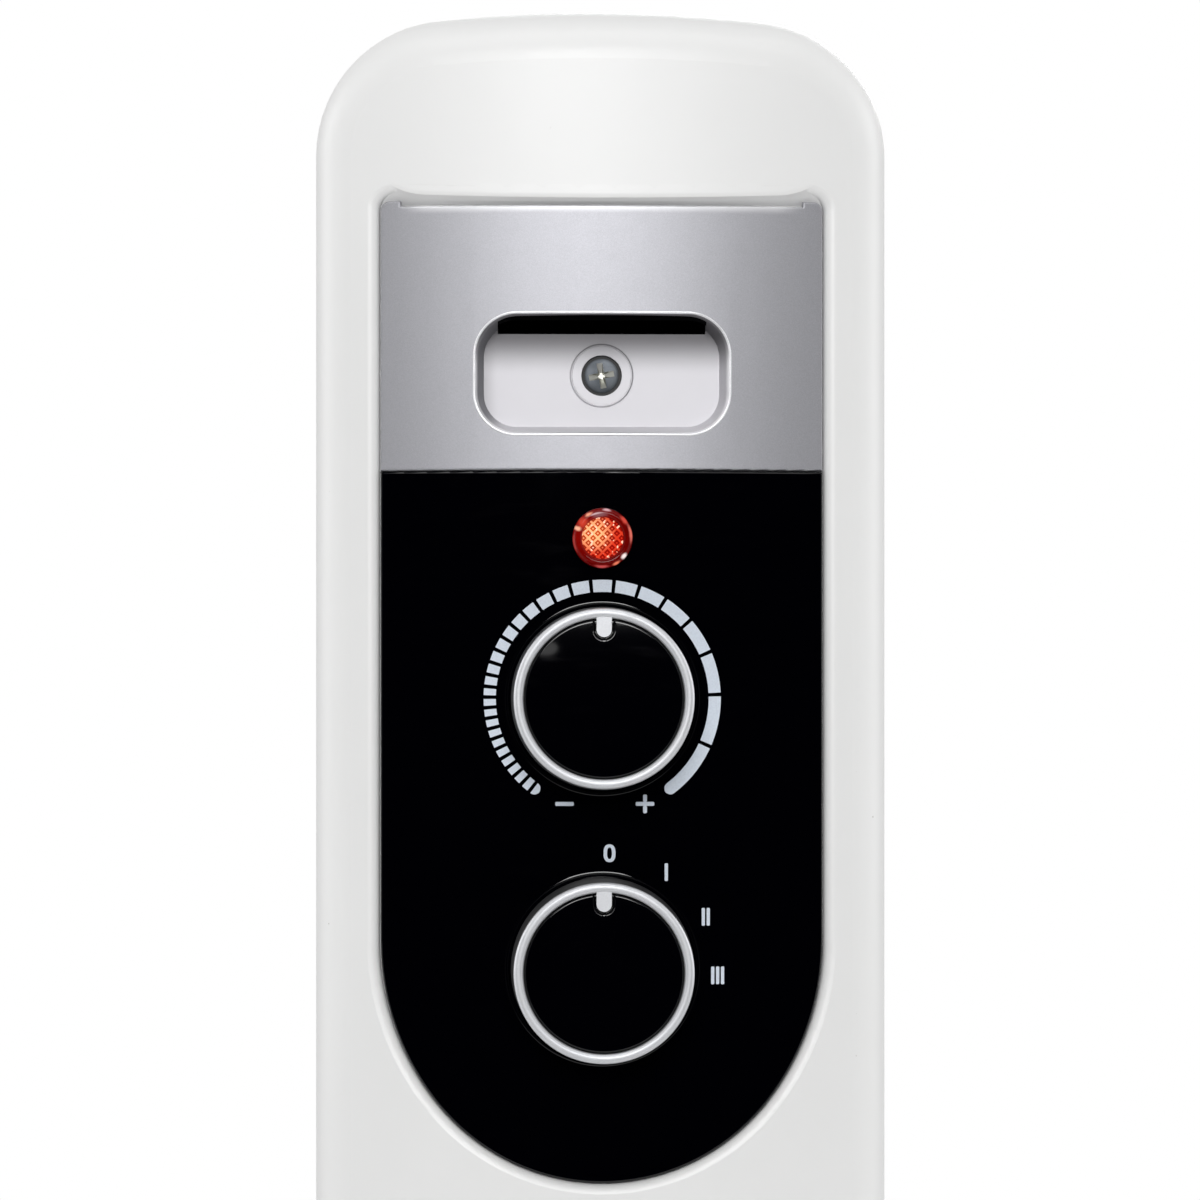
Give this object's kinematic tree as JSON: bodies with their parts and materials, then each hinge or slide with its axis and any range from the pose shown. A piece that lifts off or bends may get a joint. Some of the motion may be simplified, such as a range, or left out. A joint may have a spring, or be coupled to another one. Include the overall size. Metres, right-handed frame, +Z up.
{
  "type": "oil-filled radiator",
  "caption": "Oil-filled column radiator on swivel castors: pressed fins on two headers, rounded white control housing with silver grip fascia, black panel, signal lamp, thermostat and switch.",
  "frame": {"origin": "on the floor, under the middle of the whole part's box", "axes": "+Z up, -Y towards the control panel, X across the fins"},
  "size_m": [0.24, 0.4248, 0.64],
  "materials": {
    "cover_paint": "semi-gloss white enamel",
    "fin_paint": "semi-gloss white enamel",
    "silver_paint": "satin silver metallic paint",
    "black_gloss": "polished black",
    "black_satin": "fine satin black",
    "knob_silver": "satin silver",
    "amber_lens": "tinted clear",
    "lamp_glass": "clear",
    "zinc_steel": "zinc plated",
    "dark_screw": "dull nickel",
    "brass": "machined",
    "heater_sheath": "dull sheath",
    "control_plastic": "moulded ivory",
    "bimetal": "rolled strip",
    "lead_sleeve": "heat-proof sleeve",
    "inlet_rubber": "matte",
    "foot_paint": "semi-gloss white enamel",
    "castor_plastic": "fine grained black",
    "castor_tyre": "worn satin"
  },
  "bodies": {
    "radiator": {"back_plate": "cover_paint", "control_nuts": "zinc_steel", "control_panel": "black_gloss", "cord_inlet_bush": "inlet_rubber", "cover_screws": "zinc_steel", "fascia": "silver_paint", "fascia_screw": "dark_screw", "fascia_strap": "zinc_steel", "fin_1": "fin_paint", "fin_2": "fin_paint", "fin_3": "fin_paint", "fin_4": "fin_paint", "fin_5": "fin_paint", "fin_6": "fin_paint", "fin_7": "fin_paint", "fin_8": "fin_paint", "fin_9": "fin_paint", "foot_hooks": "zinc_steel", "front_cover": "cover_paint", "front_foot": "foot_paint", "heater_element_high": "heater_sheath", "heater_element_low": "heater_sheath", "heater_flange": "zinc_steel", "heater_nut": "brass", "heater_terminals": "brass", "inner_leads": "lead_sleeve", "lamp_bulb": "lamp_glass", "lamp_lens": "amber_lens", "rear_foot": "foot_paint", "rear_header_plugs": "fin_paint", "switch_body": "control_plastic", "switch_terminals": "brass", "terminal_block": "control_plastic", "thermal_cutout": "bimetal", "thermostat_bimetal": "bimetal", "thermostat_body": "control_plastic", "top_fixing_nut": "zinc_steel", "top_header_plug": "zinc_steel", "wing_nuts": "zinc_steel"},
    "thermostat_dial": {"thermostat_knob": "black_satin", "thermostat_knob_ring": "knob_silver", "thermostat_knob_cap": "black_gloss", "thermostat_spindle": "brass"},
    "switch_dial": {"switch_knob": "black_satin", "switch_knob_ring": "knob_silver", "switch_knob_cap": "black_gloss", "switch_spindle": "control_plastic"},
    "castor_front_left_swivel": {"castor_front_left_fork": "castor_plastic", "castor_front_left_axle": "zinc_steel"},
    "castor_front_left_roller": {"castor_front_left_wheel": "castor_tyre"},
    "castor_front_right_swivel": {"castor_front_right_fork": "castor_plastic", "castor_front_right_axle": "zinc_steel"},
    "castor_front_right_roller": {"castor_front_right_wheel": "castor_tyre"},
    "castor_rear_left_swivel": {"castor_rear_left_fork": "castor_plastic", "castor_rear_left_axle": "zinc_steel"},
    "castor_rear_left_roller": {"castor_rear_left_wheel": "castor_tyre"},
    "castor_rear_right_swivel": {"castor_rear_right_fork": "castor_plastic", "castor_rear_right_axle": "zinc_steel"},
    "castor_rear_right_roller": {"castor_rear_right_wheel": "castor_tyre"}
  },
  "joints": [
    {"name": "thermostat_turn", "type": "hinge", "parent": "radiator", "child": "thermostat_dial", "pos_m": [0, -0.1936, 0.4648], "axis": [0, 1, 0], "range_deg": [-144, 144]},
    {"name": "switch_turn", "type": "hinge", "parent": "radiator", "child": "switch_dial", "pos_m": [0, -0.1936, 0.3963], "axis": [0, 1, 0], "range_deg": [0, 90]},
    {"name": "castor_front_left_swing", "type": "hinge", "parent": "radiator", "child": "castor_front_left_swivel", "pos_m": [-0.102, -0.0776, 0.055], "axis": [0, 0, 1], "continuous": true},
    {"name": "castor_front_left_roll", "type": "hinge", "parent": "castor_front_left_swivel", "child": "castor_front_left_roller", "pos_m": [-0.102, -0.0636, 0.021], "axis": [1, 0, 0], "continuous": true},
    {"name": "castor_front_right_swing", "type": "hinge", "parent": "radiator", "child": "castor_front_right_swivel", "pos_m": [0.102, -0.0776, 0.055], "axis": [0, 0, 1], "continuous": true},
    {"name": "castor_front_right_roll", "type": "hinge", "parent": "castor_front_right_swivel", "child": "castor_front_right_roller", "pos_m": [0.102, -0.0636, 0.021], "axis": [1, 0, 0], "continuous": true},
    {"name": "castor_rear_left_swing", "type": "hinge", "parent": "radiator", "child": "castor_rear_left_swivel", "pos_m": [-0.102, 0.1744, 0.055], "axis": [0, 0, 1], "continuous": true},
    {"name": "castor_rear_left_roll", "type": "hinge", "parent": "castor_rear_left_swivel", "child": "castor_rear_left_roller", "pos_m": [-0.102, 0.1884, 0.021], "axis": [1, 0, 0], "continuous": true},
    {"name": "castor_rear_right_swing", "type": "hinge", "parent": "radiator", "child": "castor_rear_right_swivel", "pos_m": [0.102, 0.1744, 0.055], "axis": [0, 0, 1], "continuous": true},
    {"name": "castor_rear_right_roll", "type": "hinge", "parent": "castor_rear_right_swivel", "child": "castor_rear_right_roller", "pos_m": [0.102, 0.1884, 0.021], "axis": [1, 0, 0], "continuous": true}
  ]
}
